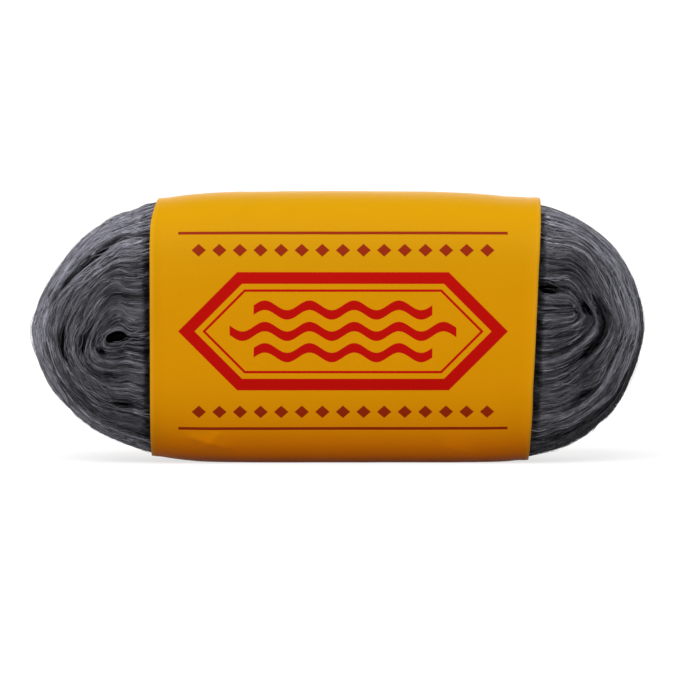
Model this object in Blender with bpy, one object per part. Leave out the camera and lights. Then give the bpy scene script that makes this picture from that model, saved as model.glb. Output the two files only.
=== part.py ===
"""A roll of steel wool: a soft ribbon wound into a flattened spiral and held by one paper band.

Metres, +Z up. The roll lies along X and stands on its long edge, with its two spiral faces towards -Y and
+Y. The origin is the middle of the flat spot under the band.
"""

import math

import bmesh
import bpy

# The roll without its band
ROLL_LENGTH = 0.180
ROLL_HEIGHT = 0.0788  # of the round form, before the flat spot
ROLL_DEPTH = 0.054
FLAT_SPOT_SINK = 0.0008  # how far its own weight presses the underside in
FACE_FULLNESS = 3.1  # 2 gives a round section, more gives flatter faces
TIP_THINNING = 0.0040  # what each face falls back by at the tips
TIP_THINNING_LENGTH = 0.034

# The outline of each quarter: squareness flattens its long edge, roundness fills its corner
LEFT_TOP_FORM = (4.7, 1.33)
LEFT_UNDER_FORM = (4.2, 1.72)
RIGHT_TOP_FORM = (4.4, 1.95)
RIGHT_UNDER_FORM = (5.8, 1.60)

# The slit that the ribbon is wound round, open at its left end as a small eye
EYE_FROM_LEFT_TIP = 0.0254
EYE_ABOVE_MIDDLE = -0.0027
EYE_WIDTH = 0.0060
EYE_HEIGHT = 0.0024
SLIT_FROM_RIGHT_TIP = 0.0227
SLIT_END_ABOVE_MIDDLE = 0.0060
SLIT_HEIGHT = 0.0006

# The ribbon and its turns
TURNS = 5
TURN_GAP = 0.0004
TAPER = 0.10  # turns left off at each end, where the ribbon has thinned out
RIM_SHARE = 0.999  # the outermost turn ends in a narrow face, this share of the way out
GROOVE_DEPTH = 0.0026  # between the turns, on both spiral faces
GROOVE_SHARPNESS = 3.0
DEEP_GROOVES = (
    # place in turns, half length in turns, how much deeper
    (3.185, 0.030, 0.0050),
    (3.305, 0.022, 0.0035),
    (2.262, 0.018, 0.0050),
    (1.258, 0.014, 0.0040),
    (1.735, 0.055, 0.0050),
    (3.680, 0.045, 0.0055),
)
TURN_SETBACK = 0.0016  # the most that one turn lies behind another
SETBACK_PER_TURN = 2.3  # radians
WAVE = 0.0007  # the winding wanders sideways this much at the ends
WAVE_LENGTH = 0.022

# Long furrows round the outside of the roll where it shows, between flat-topped ridges
FURROW_DEPTH = 0.0012
FURROW_SPACING = 0.0115
MIDDLE_RIDGE_WIDTH = 0.0084
FURROW_DRIFT = 0.0016  # how far the furrows wander across the roll's depth
FURROW_DRIFT_PER_TURN = 27.0  # radians

# The paper band
LEFT_END_SHOWING = 0.0354
RIGHT_END_SHOWING = 0.0322
RIGHT_EDGE_SLANT = 0.0036  # the top of the right edge lies this far beyond its bottom
PAPER_THICKNESS = 0.0003
PAPER_CLEARANCE = 0.0003
LAP_HEIGHT = 0.014
LAP_STEP = 0.0002

# How finely the forms are divided
FAN_STEPS = 17  # odd, so that each tip is a short blunt face
HIDDEN_STEPS = 3
SHOWING_STEPS = 3
EYE_STEPS = 2
FACE_POINTS = 7
LAP_POINTS = 4
RING_POINTS = 48
BAND_COLUMNS = 10

HALF_LENGTH = ROLL_LENGTH / 2
HALF_HEIGHT = ROLL_HEIGHT / 2
HALF_DEPTH = ROLL_DEPTH / 2
MIDDLE_Z = HALF_HEIGHT - FLAT_SPOT_SINK + PAPER_CLEARANCE + PAPER_THICKNESS
EYE_X = -HALF_LENGTH + EYE_FROM_LEFT_TIP
SLIT_END_X = HALF_LENGTH - SLIT_FROM_RIGHT_TIP
BAND_LEFT_X = -HALF_LENGTH + LEFT_END_SHOWING
BAND_RIGHT_X = HALF_LENGTH - RIGHT_END_SHOWING
BAND_RIGHT_LEAST_X = BAND_RIGHT_X - RIGHT_EDGE_SLANT / 2

WOOL_COLOUR = (0.075, 0.075, 0.085, 1)
PAPER_COLOUR = (0.665, 0.284, 0.002, 1)


def clear_scene():
    for thing in list(bpy.data.objects):
        bpy.data.objects.remove(thing)


def material(name, colour, roughness, metallic):
    made = bpy.data.materials.new(name)
    made.use_nodes = True
    shader = made.node_tree.nodes["Principled BSDF"]
    shader.inputs["Base Color"].default_value = colour
    shader.inputs["Roughness"].default_value = roughness
    shader.inputs["Metallic"].default_value = metallic
    made.diffuse_color = colour
    return made


def smooth_share(value):
    """0 up to 0, 1 from 1 on, and an even rise between."""
    share = min(1.0, max(0.0, value))
    return share * share * (3 - 2 * share)


def spread(start, end, steps):
    """The start and the places after it, up to but not including the end."""
    return [start + (end - start) * step / steps for step in range(steps)]


def quarter_form(x, up):
    """(squareness, roundness) of the outline in the quarter where x and a height from the middle lie."""
    if x < 0:
        return LEFT_TOP_FORM if up >= 0 else LEFT_UNDER_FORM
    return RIGHT_TOP_FORM if up >= 0 else RIGHT_UNDER_FORM


def rim_height(x, up):
    """How high the roll's outline lies above the middle at x or, towards a negative value, below it."""
    squareness, roundness = quarter_form(x, up)
    return HALF_HEIGHT * (1 - (abs(x) / HALF_LENGTH) ** squareness) ** (1 / roundness)


def rim_x(height, side):
    """Where the outline lies at a height above or below the middle, on side -1 or 1."""
    squareness, roundness = quarter_form(side, height)
    fall = 1 - (abs(height) / HALF_HEIGHT) ** roundness
    return side * HALF_LENGTH * fall ** (1 / squareness)


def half_depth(x):
    """Half the depth of the roll at x, across the middle of its faces."""
    past = abs(x) - (HALF_LENGTH - TIP_THINNING_LENGTH)
    return HALF_DEPTH - TIP_THINNING * smooth_share(past / TIP_THINNING_LENGTH)


def slit_middle(x):
    """The height of the slit's middle line at x."""
    along = (x - EYE_X) / (SLIT_END_X - EYE_X)
    return EYE_ABOVE_MIDDLE + along * (SLIT_END_ABOVE_MIDDLE - EYE_ABOVE_MIDDLE)


def slit_half_height(x):
    """Half the height of the slit, which widens into the eye at its left end."""
    from_eye = (x - EYE_X) / (EYE_WIDTH / 2)
    eye = EYE_HEIGHT / 2 * math.sqrt(max(0.0, 1 - from_eye**2))
    return max(eye, SLIT_HEIGHT / 2)


def long_edge_stations(side):
    """(core point, rim point) pairs along the top, side 1, or underside, side -1, from right to left."""
    eye_right_x = EYE_X + EYE_WIDTH / 2
    xs = spread(SLIT_END_X, BAND_RIGHT_LEAST_X, SHOWING_STEPS)
    xs += spread(BAND_RIGHT_LEAST_X, 0, HIDDEN_STEPS)
    xs += spread(0, BAND_LEFT_X, HIDDEN_STEPS)
    xs += spread(BAND_LEFT_X, eye_right_x, SHOWING_STEPS)
    xs += spread(eye_right_x, EYE_X, EYE_STEPS) + [EYE_X]
    return [
        ((x, slit_middle(x) + side * slit_half_height(x)), (x, side * rim_height(x, side)))
        for x in xs
    ]


def fan_stations(side):
    """(core point, rim point) pairs round the left end, side -1, or right end, side 1, from the top down."""
    core_x, core_z = (EYE_X, EYE_ABOVE_MIDDLE) if side < 0 else (SLIT_END_X, SLIT_END_ABOVE_MIDDLE)
    half_width = EYE_WIDTH / 2 if side < 0 else SLIT_HEIGHT / 2
    half_height = slit_half_height(core_x)
    pairs = []
    for angle in spread(math.pi / 2, -math.pi / 2, FAN_STEPS)[1:]:
        core = (
            core_x + side * half_width * math.cos(angle),
            core_z + half_height * math.sin(angle),
        )
        height = rim_height(core_x, math.sin(angle)) * math.sin(angle)
        pairs.append((core, (rim_x(height, side), height)))
    return pairs


def loop_stations():
    """(core point, rim point) pairs once round the roll, from the top middle towards the left end."""
    top = long_edge_stations(1)
    underside = long_edge_stations(-1)[::-1]
    middle = SHOWING_STEPS + HIDDEN_STEPS
    return top[middle:] + fan_stations(-1) + underside + fan_stations(1)[::-1] + top[:middle]


def loop_shares(stations):
    """How far round the rim each station lies, from 0 up to 1."""
    rims = [rim for _, rim in stations]
    lengths = [math.dist(rim, after) for rim, after in zip(rims, rims[1:] + rims[:1])]
    total = sum(lengths)
    return [sum(lengths[:index]) / total for index in range(len(rims))]


def layer(turn):
    """How far out from the core, 0 to 1, the ribbon's inner and outer faces lie at a place given in turns."""
    pitch = 1 / (TURNS - 1)
    return max(0.0, (turn - 1) * pitch), min(1.0, turn * pitch)


def fullness_of(turn):
    """How thick the ribbon is at a place, from 0 where it has thinned out to 1."""
    if turn <= 0 or turn >= TURNS:
        return 0.0
    inner, outer = layer(turn)
    return smooth_share(2 * (outer - inner) * (TURNS - 1))


def groove_depth(place):
    """How deep the groove is between a turn and the next one out, at a place given in turns."""
    deeper = sum(
        extra * math.exp(-(((place - deepest) / half_length) ** 2))
        for deepest, half_length, extra in DEEP_GROOVES
    )
    return GROOVE_DEPTH + deeper


def end_share(x):
    """0 under the band, and rising to 1 over the parts of the roll that show."""
    past = max(BAND_LEFT_X - x, x - BAND_RIGHT_X - RIGHT_EDGE_SLANT / 2)
    return smooth_share(past / (WAVE_LENGTH / 2))


def furrow(turn, x, depth):
    """How deep the outside of the outermost turn is furrowed, at a distance from the middle of its width."""
    if turn < TURNS - 1:
        return 0.0
    drift = FURROW_DRIFT * math.sin(FURROW_DRIFT_PER_TURN * turn)
    past_ridge = max(0.0, depth - MIDDLE_RIDGE_WIDTH / 2 - drift)
    wave = 0.5 - 0.5 * math.cos(2 * math.pi * past_ridge / FURROW_SPACING)
    return FURROW_DEPTH * wave * fullness_of(turn) * end_share(x)


def wandered(x, z, out):
    """A point of the loop's plane, moved by the winding's uneven run, but not at the rim or in the band."""
    swing = WAVE * end_share(x) * (1 - out**2)
    phase = 2 * math.pi / WAVE_LENGTH
    return (
        x + swing * math.sin(phase * z + 1.3),
        z + swing * math.sin(phase * x + 0.6),
    )


def ribbon_section(core, rim, turn):
    """The ribbon's outline across its width at one station: down its front edge, then up its back."""
    reach = math.dist(core, rim)
    inner, outer = layer(turn)
    outer = min(outer, RIM_SHARE)
    thickness = outer - inner
    if outer < RIM_SHARE:
        outer -= min(TURN_GAP / reach, thickness / 2)
    outer_groove = groove_depth(turn) * fullness_of(turn + 1)
    inner_groove = groove_depth(turn - 1) * fullness_of(turn)
    setback = TURN_SETBACK * (0.5 - 0.5 * math.cos(SETBACK_PER_TURN * turn))
    front = []
    for index in range(FACE_POINTS):
        share = 0.5 + 0.5 * math.cos(math.pi * index / (FACE_POINTS - 1))
        out = inner + share * (outer - inner)
        x = core[0] + out * (rim[0] - core[0])
        z = core[1] + out * (rim[1] - core[1])
        side_groove = outer_groove if share > 0.5 else inner_groove
        groove = side_groove * abs(2 * share - 1) ** GROOVE_SHARPNESS
        level = (1 - out**FACE_FULLNESS) ** (1 / FACE_FULLNESS)
        depth = half_depth(x) * level - level * (groove + setback * end_share(x))
        sunk = furrow(turn, x, half_depth(x) * level) * (1 - level**2) * share / reach
        x -= sunk * (rim[0] - core[0])
        z -= sunk * (rim[1] - core[1])
        x, z = wandered(x, z, out)
        height = max(z + MIDDLE_Z, PAPER_THICKNESS + PAPER_CLEARANCE)
        front.append((x, -depth, height))
    back = [(x, -y, z) for x, y, z in reversed(front)]
    return front + back


def wool_sections():
    stations = loop_stations()
    shares = loop_shares(stations)
    sections = []
    for whole_turns in range(TURNS):
        for (core, rim), share in zip(stations, shares):
            turn = whole_turns + share
            if TAPER <= turn <= TURNS - TAPER:
                sections.append(ribbon_section(core, rim, turn))
    return sections


def reach_from_slit(x, towards):
    """How far it is at x from the slit's middle line to the rim above or, towards a negative value, below."""
    return rim_height(x, towards) - math.copysign(1, towards) * slit_middle(x)


def back_angle(x, height):
    """The angle round the band's section at which its back lies at a height above the middle."""
    above = height - slit_middle(x)
    share = abs(above) / reach_from_slit(x, above)
    return math.copysign(math.asin(share ** (FACE_FULLNESS / 2)), above)


def band_point(x, angle, offset):
    """A point this far outside the wool, at an angle round the section from its back over the top."""
    up = math.copysign(abs(math.sin(angle)) ** (2 / FACE_FULLNESS), math.sin(angle))
    back = math.copysign(abs(math.cos(angle)) ** (2 / FACE_FULLNESS), math.cos(angle))
    reach = reach_from_slit(x, up)
    depth = half_depth(x)
    normal_z = math.copysign(abs(up) ** (FACE_FULLNESS - 1) / reach, up)
    normal_y = math.copysign(abs(back) ** (FACE_FULLNESS - 1) / depth, back)
    size = math.hypot(normal_y, normal_z)
    height = slit_middle(x) + reach * up + offset * normal_z / size
    floor = PAPER_THICKNESS + PAPER_CLEARANCE - offset
    return x, depth * back + offset * normal_y / size, max(height + MIDDLE_Z, floor)


def band_section(angle_at, layers):
    """The paper's outline along the roll at one place round the band, inside face first."""
    inside = []
    outside = []
    for column in range(BAND_COLUMNS + 1):
        share = 0.5 - 0.5 * math.cos(math.pi * column / BAND_COLUMNS)
        x = BAND_LEFT_X + share * (BAND_RIGHT_X - BAND_LEFT_X)
        height = band_point(x, angle_at(x), 0)[2] - MIDDLE_Z
        x += share * RIGHT_EDGE_SLANT / 2 * height / HALF_HEIGHT
        angle = angle_at(x)
        inside.append(band_point(x, angle, PAPER_CLEARANCE))
        outside.append(band_point(x, angle, PAPER_CLEARANCE + layers * PAPER_THICKNESS))
    return inside + outside[::-1]


def band_sections():
    """Sections round the band: up through the lap at the back, over the top, down the front and under."""
    low = -LAP_HEIGHT / 2
    high = LAP_HEIGHT / 2
    sections = []
    for height in spread(low + LAP_STEP, high, LAP_POINTS) + [high]:
        sections.append(band_section(lambda x, height=height: back_angle(x, height), 2))
    for share in spread(0, 1, RING_POINTS)[1:] + [1]:

        def angle_at(x, share=share):
            start = back_angle(x, high)
            return start + share * (2 * math.pi + back_angle(x, low) - start)

        sections.append(band_section(angle_at, 1))
    return sections


def loft(name, sections, closed, finish):
    """One closed body through the sections, capped at both ends or joined into a ring."""
    shape = bmesh.new()
    rows = [[shape.verts.new(point) for point in section] for section in sections]
    pairs = list(zip(rows, rows[1:] + rows[:1] if closed else rows[1:]))
    for row, after in pairs:
        for index in range(len(row)):
            beside = (index + 1) % len(row)
            shape.faces.new((row[index], row[beside], after[beside], after[index]))
    if not closed:
        shape.faces.new(rows[0])
        shape.faces.new(rows[-1])
    bmesh.ops.recalc_face_normals(shape, faces=shape.faces[:])
    mesh = bpy.data.meshes.new(name)
    shape.to_mesh(mesh)
    shape.free()
    mesh.materials.append(finish)
    mesh.shade_smooth()
    mesh.set_sharp_from_angle(angle=math.radians(50))
    thing = bpy.data.objects.new(name, mesh)
    bpy.context.scene.collection.objects.link(thing)
    return thing


def build():
    clear_scene()
    wool = material("steel_wool", WOOL_COLOUR, roughness=0.55, metallic=0.85)
    paper = material("printed_paper", PAPER_COLOUR, roughness=0.45, metallic=0.0)
    loft("wool_roll", wool_sections(), closed=False, finish=wool)
    loft("paper_band", band_sections(), closed=True, finish=paper)


build()
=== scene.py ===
"""The looks of the steel wool roll: a spiral of combed steel fibres in a printed paper band."""

import math
from typing import NamedTuple

import bpy
import numpy as np
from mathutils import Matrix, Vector

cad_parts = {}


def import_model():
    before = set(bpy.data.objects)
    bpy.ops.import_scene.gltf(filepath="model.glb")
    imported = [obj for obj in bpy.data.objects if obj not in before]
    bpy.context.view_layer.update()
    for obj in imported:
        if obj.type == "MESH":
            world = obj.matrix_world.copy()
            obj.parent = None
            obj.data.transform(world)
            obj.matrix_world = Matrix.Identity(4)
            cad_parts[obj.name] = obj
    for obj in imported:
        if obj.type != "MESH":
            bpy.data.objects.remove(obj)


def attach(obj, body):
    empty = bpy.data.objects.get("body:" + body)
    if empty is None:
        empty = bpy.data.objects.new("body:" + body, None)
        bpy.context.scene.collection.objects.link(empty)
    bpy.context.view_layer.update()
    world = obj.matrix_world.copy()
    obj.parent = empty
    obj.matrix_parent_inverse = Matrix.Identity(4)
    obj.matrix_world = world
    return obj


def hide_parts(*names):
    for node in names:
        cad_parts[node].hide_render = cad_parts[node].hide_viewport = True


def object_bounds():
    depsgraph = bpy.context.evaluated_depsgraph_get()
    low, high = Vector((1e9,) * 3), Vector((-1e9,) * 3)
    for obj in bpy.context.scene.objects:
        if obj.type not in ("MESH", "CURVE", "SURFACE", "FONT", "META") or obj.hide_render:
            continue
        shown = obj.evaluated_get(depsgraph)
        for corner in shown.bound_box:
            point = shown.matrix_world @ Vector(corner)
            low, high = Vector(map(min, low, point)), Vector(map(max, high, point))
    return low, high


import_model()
cad_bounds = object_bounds()

# The roll, as in the solids
ROLL_LENGTH = 0.180
ROLL_HEIGHT = 0.0788
ROLL_DEPTH = 0.054
FLAT_SPOT_SINK = 0.0008
FACE_FULLNESS = 3.1
TIP_THINNING = 0.0040
TIP_THINNING_LENGTH = 0.034
LEFT_TOP_FORM = (4.7, 1.33)  # squareness and roundness of the outline in each quarter
LEFT_UNDER_FORM = (4.2, 1.72)
RIGHT_TOP_FORM = (4.4, 1.95)
RIGHT_UNDER_FORM = (5.8, 1.60)
EYE_FROM_LEFT_TIP = 0.0254
EYE_ABOVE_MIDDLE = -0.0027
EYE_WIDTH = 0.0060
EYE_HEIGHT = 0.0030
SLIT_FROM_RIGHT_TIP = 0.0227
SLIT_END_ABOVE_MIDDLE = 0.0060
SLIT_HEIGHT = 0.0006
TURNS = 5
TURN_OVERLAP = 0.0008  # the solids have a gap here, through which light would show
THIN_END_SHARE = 0.035  # the outermost turn keeps this much more than in the solids where it thins out
TAPER = 0.10
RIM_SHARE = 0.9995
GROOVE_SHARPNESS = 3.0
TURN_SETBACK = 0.0016
SETBACK_PER_TURN = 2.3
WAVE = 0.0011
WAVE_LENGTH = 0.022
WOBBLE = 0.0007
WOBBLE_LENGTH = 0.0085
KNOT_WOBBLE = 0.0012  # in the swirl at the right
KNOT_LENGTH = 0.0056
KNOT_RADIUS = 0.0105

FURROW_DEPTH = 0.0012
FURROW_SPACING = 0.0115
MIDDLE_RIDGE_WIDTH = 0.0084
FURROW_DRIFT = 0.0016
FURROW_DRIFT_PER_TURN = 27.0

# The band, as in the solids
LEFT_END_SHOWING = 0.0354
RIGHT_END_SHOWING = 0.0322
RIGHT_EDGE_SLANT = 0.0036
PAPER_THICKNESS = 0.0003
PAPER_CLEARANCE = 0.0003
LAP_HEIGHT = 0.014
LAP_STEP = 0.0002

# The grooves between the turns: their usual depth, and deeper places as (boundary in turns, length, depth)
GROOVE_DEPTH = 0.0017
SLIT_GROOVE_DEPTH = 0.0006
GROOVE_OPENING = 0.0011  # on each side of a deep groove
OPENING_SHARPNESS = 6.0
DEEP_GROOVES = (
    (3.185, 0.030, 0.0050),
    (3.212, 0.012, 0.0028),
    (3.305, 0.024, 0.0048),
    (2.262, 0.018, 0.0050),
    (1.258, 0.014, 0.0040),
    (1.735, 0.055, 0.0062),
    (3.680, 0.045, 0.0055),
    (0.310, 0.012, 0.0024),
    (0.760, 0.014, 0.0030),
    (0.860, 0.006, 0.0030),
    (1.342, 0.010, 0.0024),
    (2.350, 0.012, 0.0026),
    (2.660, 0.016, 0.0024),
    (2.820, 0.010, 0.0020),
    (3.835, 0.014, 0.0022),
)

WIDE_GROOVE = (1.735, 0.040, 0.7)  # place and half length in turns, and how much wider it is, as a share
TUCKED_TURN = (4.692, 0.086, 0.0074)  # place and half length in turns, and how far it lies back

# The strands that the wool is matted into: length, width, depth of the creases between, and their share
STRANDS = (
    (0.018, 0.0028, 0.0022, 0.34),
    (0.008, 0.0014, 0.0011, 0.42),
)
RIM_CREASES = 0.35  # the outside is smoother than the faces, by this factor
ROOM_FOR_CREASES = 0.005  # the thickness from which on a turn is creased in full
FINE_STREAKS = (0.009, 0.0007, 0.00012)  # length, width and height
EDGE_DIP = 0.0026  # how far the wool is pulled in beside the band's edges
EDGE_DIP_WIDTH = 0.0012
# Painted shade in the wool's colour: darker in creases and grooves, beside the band's edges, round the
# underside and where the outermost turn lies back
HOLLOW_DEPTH = 0.0045  # where it is darkest between the strands and turns
HOLLOW_SHADE = 0.52  # how much darker the fibres there are, as painted shade
EDGE_SHADE = 1.0  # and right beside the band's edges
EDGE_SHADE_WIDTH = 0.0012
UNDER_SHADE = 0.20  # and round the underside, as painted shade from the light above
TUCKED_SHADE = 0.30  # and where the outermost turn lies back
WOOL_SINK = 0.0005  # how far the strands lie inside the solids' outline, for the fibres over them

# The dense wool body
HIDDEN_SECTIONS = 6
END_SECTIONS = 112
FACE_POINTS = 24
HIDDEN_POINTS = 2
HIDDEN_DEPTH = 0.55  # where the closed part of the gap between two turns begins, as a share of the depth
OUTER_TURN_POINTS = 132

CORE_SECTIONS = 90
CORE_POINTS = 24
CORE_MARGIN = 0.0012
CORE_SETBACK = 0.0075
SLIT_SETBACK = 0.0012

# The fibres over it
FIBRE_POINTS = 8
FIBRE_RADIUS = 0.000062
FIBRE_TIP = 0.3  # its thickness at both ends, as a share
FIBRE_CLEARANCE = 0.00003
FACE_FIBRE_LENGTH = 0.020
RIM_FIBRE_LENGTH = 0.034
STRAY_LENGTH = 0.018
FIBRES_PER_LOCK = 7
LOCK_WIDTH = 0.0005
LOCK_SCATTER = 0.004  # how far along the winding the starts of its fibres spread
LOCK_CROWN = 0.00030
LENGTH_VARIES = (0.25, 0.20)  # from lock to lock, and from fibre to fibre
SLANT_VARIES = (0.035, 0.030)
SWAY = (0.07, 0.05)
SHADE_VARIES = (0.24, 0.20)
LONG_LOCKS_PALER = 0.09  # and very short ones
PIECES_OF_FIBRES = 2  # on the faces, and as many on the outside
LOCKS_PER_PIECE = 530
STRAY_FIBRES = 1000
STRAY_SLANT = 0.35
STRAY_SWAY = 0.25
STRAY_LIFT = 0.00045
STRAY_SHADE = 0.55
TUCK = 0.004  # how far the fibres reach in under the band
TUCKED_STEPS = 0.12  # how fast they run on further in, as a share
STRANDS_FADE = 0.0015  # how far beside the band the strands come up
FIBRES_FADE = 0.0018  # and the fibres
RIM_SHADE = 0.86  # of the fibres laid smooth round the outside, from 0, dark, to 1, light; lighter than the faces partly as smoother steel and partly as painted light from above
FACE_SHADE = 0.33  # of the fibres on the spiral faces, in the core
OUTER_SHADE = 0.34  # how much lighter they are in the outer turns, as painted light, most near the top
FALL_TO_UNDERSIDE = (2.7, 1.3)  # how fast that painted light falls off below the middle, at the left and right
RIGHT_CORE_SHADE = 0.16  # how much darker they are in the core at the right

# The band's form
BAND_COLUMNS = 96
BAND_RING = 216
LAP_ROWS = 16
RAGGEDNESS = 0.00012
CORNER_DRAWN_IN = 0.0018  # how far the left edge is drawn in over the top
CORNER_FROM = 0.0285  # above the middle
CORNER_LIFT = 0.0011  # how far the top right corner stands off, where the roll falls away under it
LIFT_FROM = 0.048
LIFT_LENGTH = 0.012
EDGE_FLARE = 0.00045
EDGE_FLARE_WIDTH = 0.0035

HALF_LENGTH = ROLL_LENGTH / 2
HALF_HEIGHT = ROLL_HEIGHT / 2
HALF_DEPTH = ROLL_DEPTH / 2
MIDDLE_Z = HALF_HEIGHT - FLAT_SPOT_SINK + PAPER_CLEARANCE + PAPER_THICKNESS
EYE_X = -HALF_LENGTH + EYE_FROM_LEFT_TIP
SLIT_END_X = HALF_LENGTH - SLIT_FROM_RIGHT_TIP
BAND_LEFT_X = -HALF_LENGTH + LEFT_END_SHOWING
BAND_RIGHT_X = HALF_LENGTH - RIGHT_END_SHOWING
PITCH = 1 / (TURNS - 1)

# The photograph's frame and view
PICTURE_SIDE = 675
VIEW_ELEVATION = math.radians(2.5)
VIEW_DISTANCE = 2.0
METRES_PER_PIXEL = 0.180 / 610
OBJECT_ABOVE_CENTRE = 11.5  # pixels
SENSOR = 36.0


def smooth_share(value):
    """0 up to 0, 1 from 1 on, and an even rise between."""
    share = np.clip(value, 0.0, 1.0)
    return share * share * (3 - 2 * share)


def bell(distance, width):
    """1 at distance 0, and falling evenly to both sides."""
    return np.exp(-((distance / width) ** 2))


def signed_power(value, power):
    """A power of a value's size, with the value's sign."""
    return np.sign(value) * np.abs(value) ** power


def stacked(*parts):
    """Points from their coordinates, spread to one shape."""
    return np.stack(np.broadcast_arrays(*parts), axis=-1)


def norm(vectors):
    return np.linalg.norm(vectors, axis=-1)


def unit(vectors):
    return vectors / np.maximum(norm(vectors)[..., None], 1e-12)


class Grain:
    """Smooth noise of two coordinates, from -1 to 1, the same each run."""

    def __init__(self, seed, size=256):
        self.size = size
        self.values = np.random.default_rng(seed).uniform(-1, 1, (size, size))

    def __call__(self, u, v):
        u, v = np.broadcast_arrays(np.asarray(u, float), np.asarray(v, float))
        left, low = np.floor(u).astype(int), np.floor(v).astype(int)
        across, up = smooth_share(u - left), smooth_share(v - low)
        corners = ((0, 0), (1, 0), (0, 1), (1, 1))
        a, b, c, d = (self.values[(left + i) % self.size, (low + j) % self.size] for i, j in corners)
        return (a + (b - a) * across) * (1 - up) + (c + (d - c) * across) * up


def quarter_form(x, up):
    """Squareness and roundness of the outline in the quarter where x and a height from the middle lie."""
    left, top = np.broadcast_arrays(np.asarray(x) < 0, np.asarray(up) >= 0)
    forms = np.array([[RIGHT_UNDER_FORM, RIGHT_TOP_FORM], [LEFT_UNDER_FORM, LEFT_TOP_FORM]])
    form = forms[left.astype(int), top.astype(int)]
    return form[..., 0], form[..., 1]


def rim_height(x, up):
    """How high the roll's outline lies above the middle at x or, towards a negative value, below it."""
    squareness, roundness = quarter_form(x, up)
    out = np.minimum(np.abs(x) / HALF_LENGTH, 1.0)
    return HALF_HEIGHT * (1 - out**squareness) ** (1 / roundness)


def rim_x(height, side):
    """Where the outline lies at a height above or below the middle, on side -1 or 1."""
    squareness, roundness = quarter_form(side, height)
    fall = 1 - (np.abs(height) / HALF_HEIGHT) ** roundness
    return side * HALF_LENGTH * fall ** (1 / squareness)


def half_depth(x):
    """Half the depth of the roll at x, across the middle of its faces."""
    past = np.abs(x) - (HALF_LENGTH - TIP_THINNING_LENGTH)
    return HALF_DEPTH - TIP_THINNING * smooth_share(past / TIP_THINNING_LENGTH)


def slit_middle(x):
    """The height of the slit's middle line at x."""
    along = (x - EYE_X) / (SLIT_END_X - EYE_X)
    return EYE_ABOVE_MIDDLE + along * (SLIT_END_ABOVE_MIDDLE - EYE_ABOVE_MIDDLE)


def slit_half_height(x):
    """Half the height of the slit, which widens into the eye at its left end."""
    from_eye = (x - EYE_X) / (EYE_WIDTH / 2)
    eye = EYE_HEIGHT / 2 * np.sqrt(np.maximum(0.0, 1 - from_eye**2))
    return np.maximum(eye, SLIT_HEIGHT / 2)


def long_edge(xs, side):
    """Rows of core x, core z, rim x, rim z along the top, side 1, or the underside, side -1."""
    core_z = slit_middle(xs) + side * slit_half_height(xs)
    return np.column_stack([xs, core_z, xs, side * rim_height(xs, side)])


def fan(side, steps):
    """The same rows round the left end, side -1, or the right end, side 1, from the top down."""
    core_x, core_z = (EYE_X, EYE_ABOVE_MIDDLE) if side < 0 else (SLIT_END_X, SLIT_END_ABOVE_MIDDLE)
    half_width = EYE_WIDTH / 2 if side < 0 else SLIT_HEIGHT / 2
    angles = np.linspace(math.pi / 2, -math.pi / 2, steps)[1:-1]
    heights = rim_height(core_x, np.sin(angles)) * np.sin(angles)
    x = core_x + side * half_width * np.cos(angles)
    z = core_z + slit_half_height(np.array(core_x)) * np.sin(angles)
    return np.column_stack([x, z, rim_x(heights, side), heights])


def loop_table(steps=400):
    """Rows once round the roll from the top middle towards the left, and the share of the way of each."""
    rows = np.vstack(
        [
            long_edge(np.linspace(0, EYE_X, steps), 1),
            fan(-1, steps),
            long_edge(np.linspace(EYE_X, SLIT_END_X, 2 * steps), -1),
            fan(1, steps)[::-1],
            long_edge(np.linspace(SLIT_END_X, 0, steps), 1),
        ]
    )
    steps_long = np.hypot(*np.diff(rows[:, 2:], axis=0).T)
    share = np.concatenate([[0], np.cumsum(steps_long)])
    return rows, share / share[-1]


LOOP, LOOP_SHARE = loop_table()
LOOP_LENGTH = float(np.hypot(*np.diff(LOOP[:, 2:], axis=0).T).sum())
GROOVE_GRAIN = Grain(11)
STRAND_GRAINS = (Grain(31), Grain(32))
WOBBLE_GRAIN = Grain(12)
STREAK_GRAIN = Grain(2)
CORE_GRAIN = Grain(51)


def loop_at(turn):
    """Core x, core z, rim x and rim z at a place along the ribbon, given in turns."""
    share = np.mod(turn, 1.0)
    return [np.interp(share, LOOP_SHARE, column) for column in LOOP.T]


def boundary(turn):
    """How far out from the core, 0 to 1, the boundary between a turn and the next one out lies."""
    outer_end = THIN_END_SHARE * smooth_share((turn - TURNS + 1.6) / 0.4) * (turn < TURNS - 1)
    return np.clip(turn * PITCH - outer_end, 0.0, 1.0)


def layer(turn):
    """How far out from the core, 0 to 1, the ribbon's inner and outer faces lie."""
    return boundary(turn - 1), boundary(turn)


def fullness(turn):
    """How thick the ribbon is, from 0 where it has thinned out or ended to 1."""
    inner, outer = layer(turn)
    there = (turn > 0) & (turn < TURNS)
    return np.where(there, smooth_share(2 * (outer - inner) / PITCH), 0.0)


def groove_depth(place):
    """How deep the groove is between a turn and the next one out, at a place given in turns."""
    depth = GROOVE_DEPTH * (1 + 0.9 * GROOVE_GRAIN(place * 34, np.floor(place) + 0.5))
    for deepest, length, extra in DEEP_GROOVES:
        depth = depth + extra * bell(place - deepest, length)
    return np.where(place < 0, SLIT_GROOVE_DEPTH, depth)


def outside_band(x):
    """How far x lies beyond the nearer edge of the band: negative under it."""
    return np.maximum(BAND_LEFT_X - x, x - BAND_RIGHT_X - RIGHT_EDGE_SLANT / 2)


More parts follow.
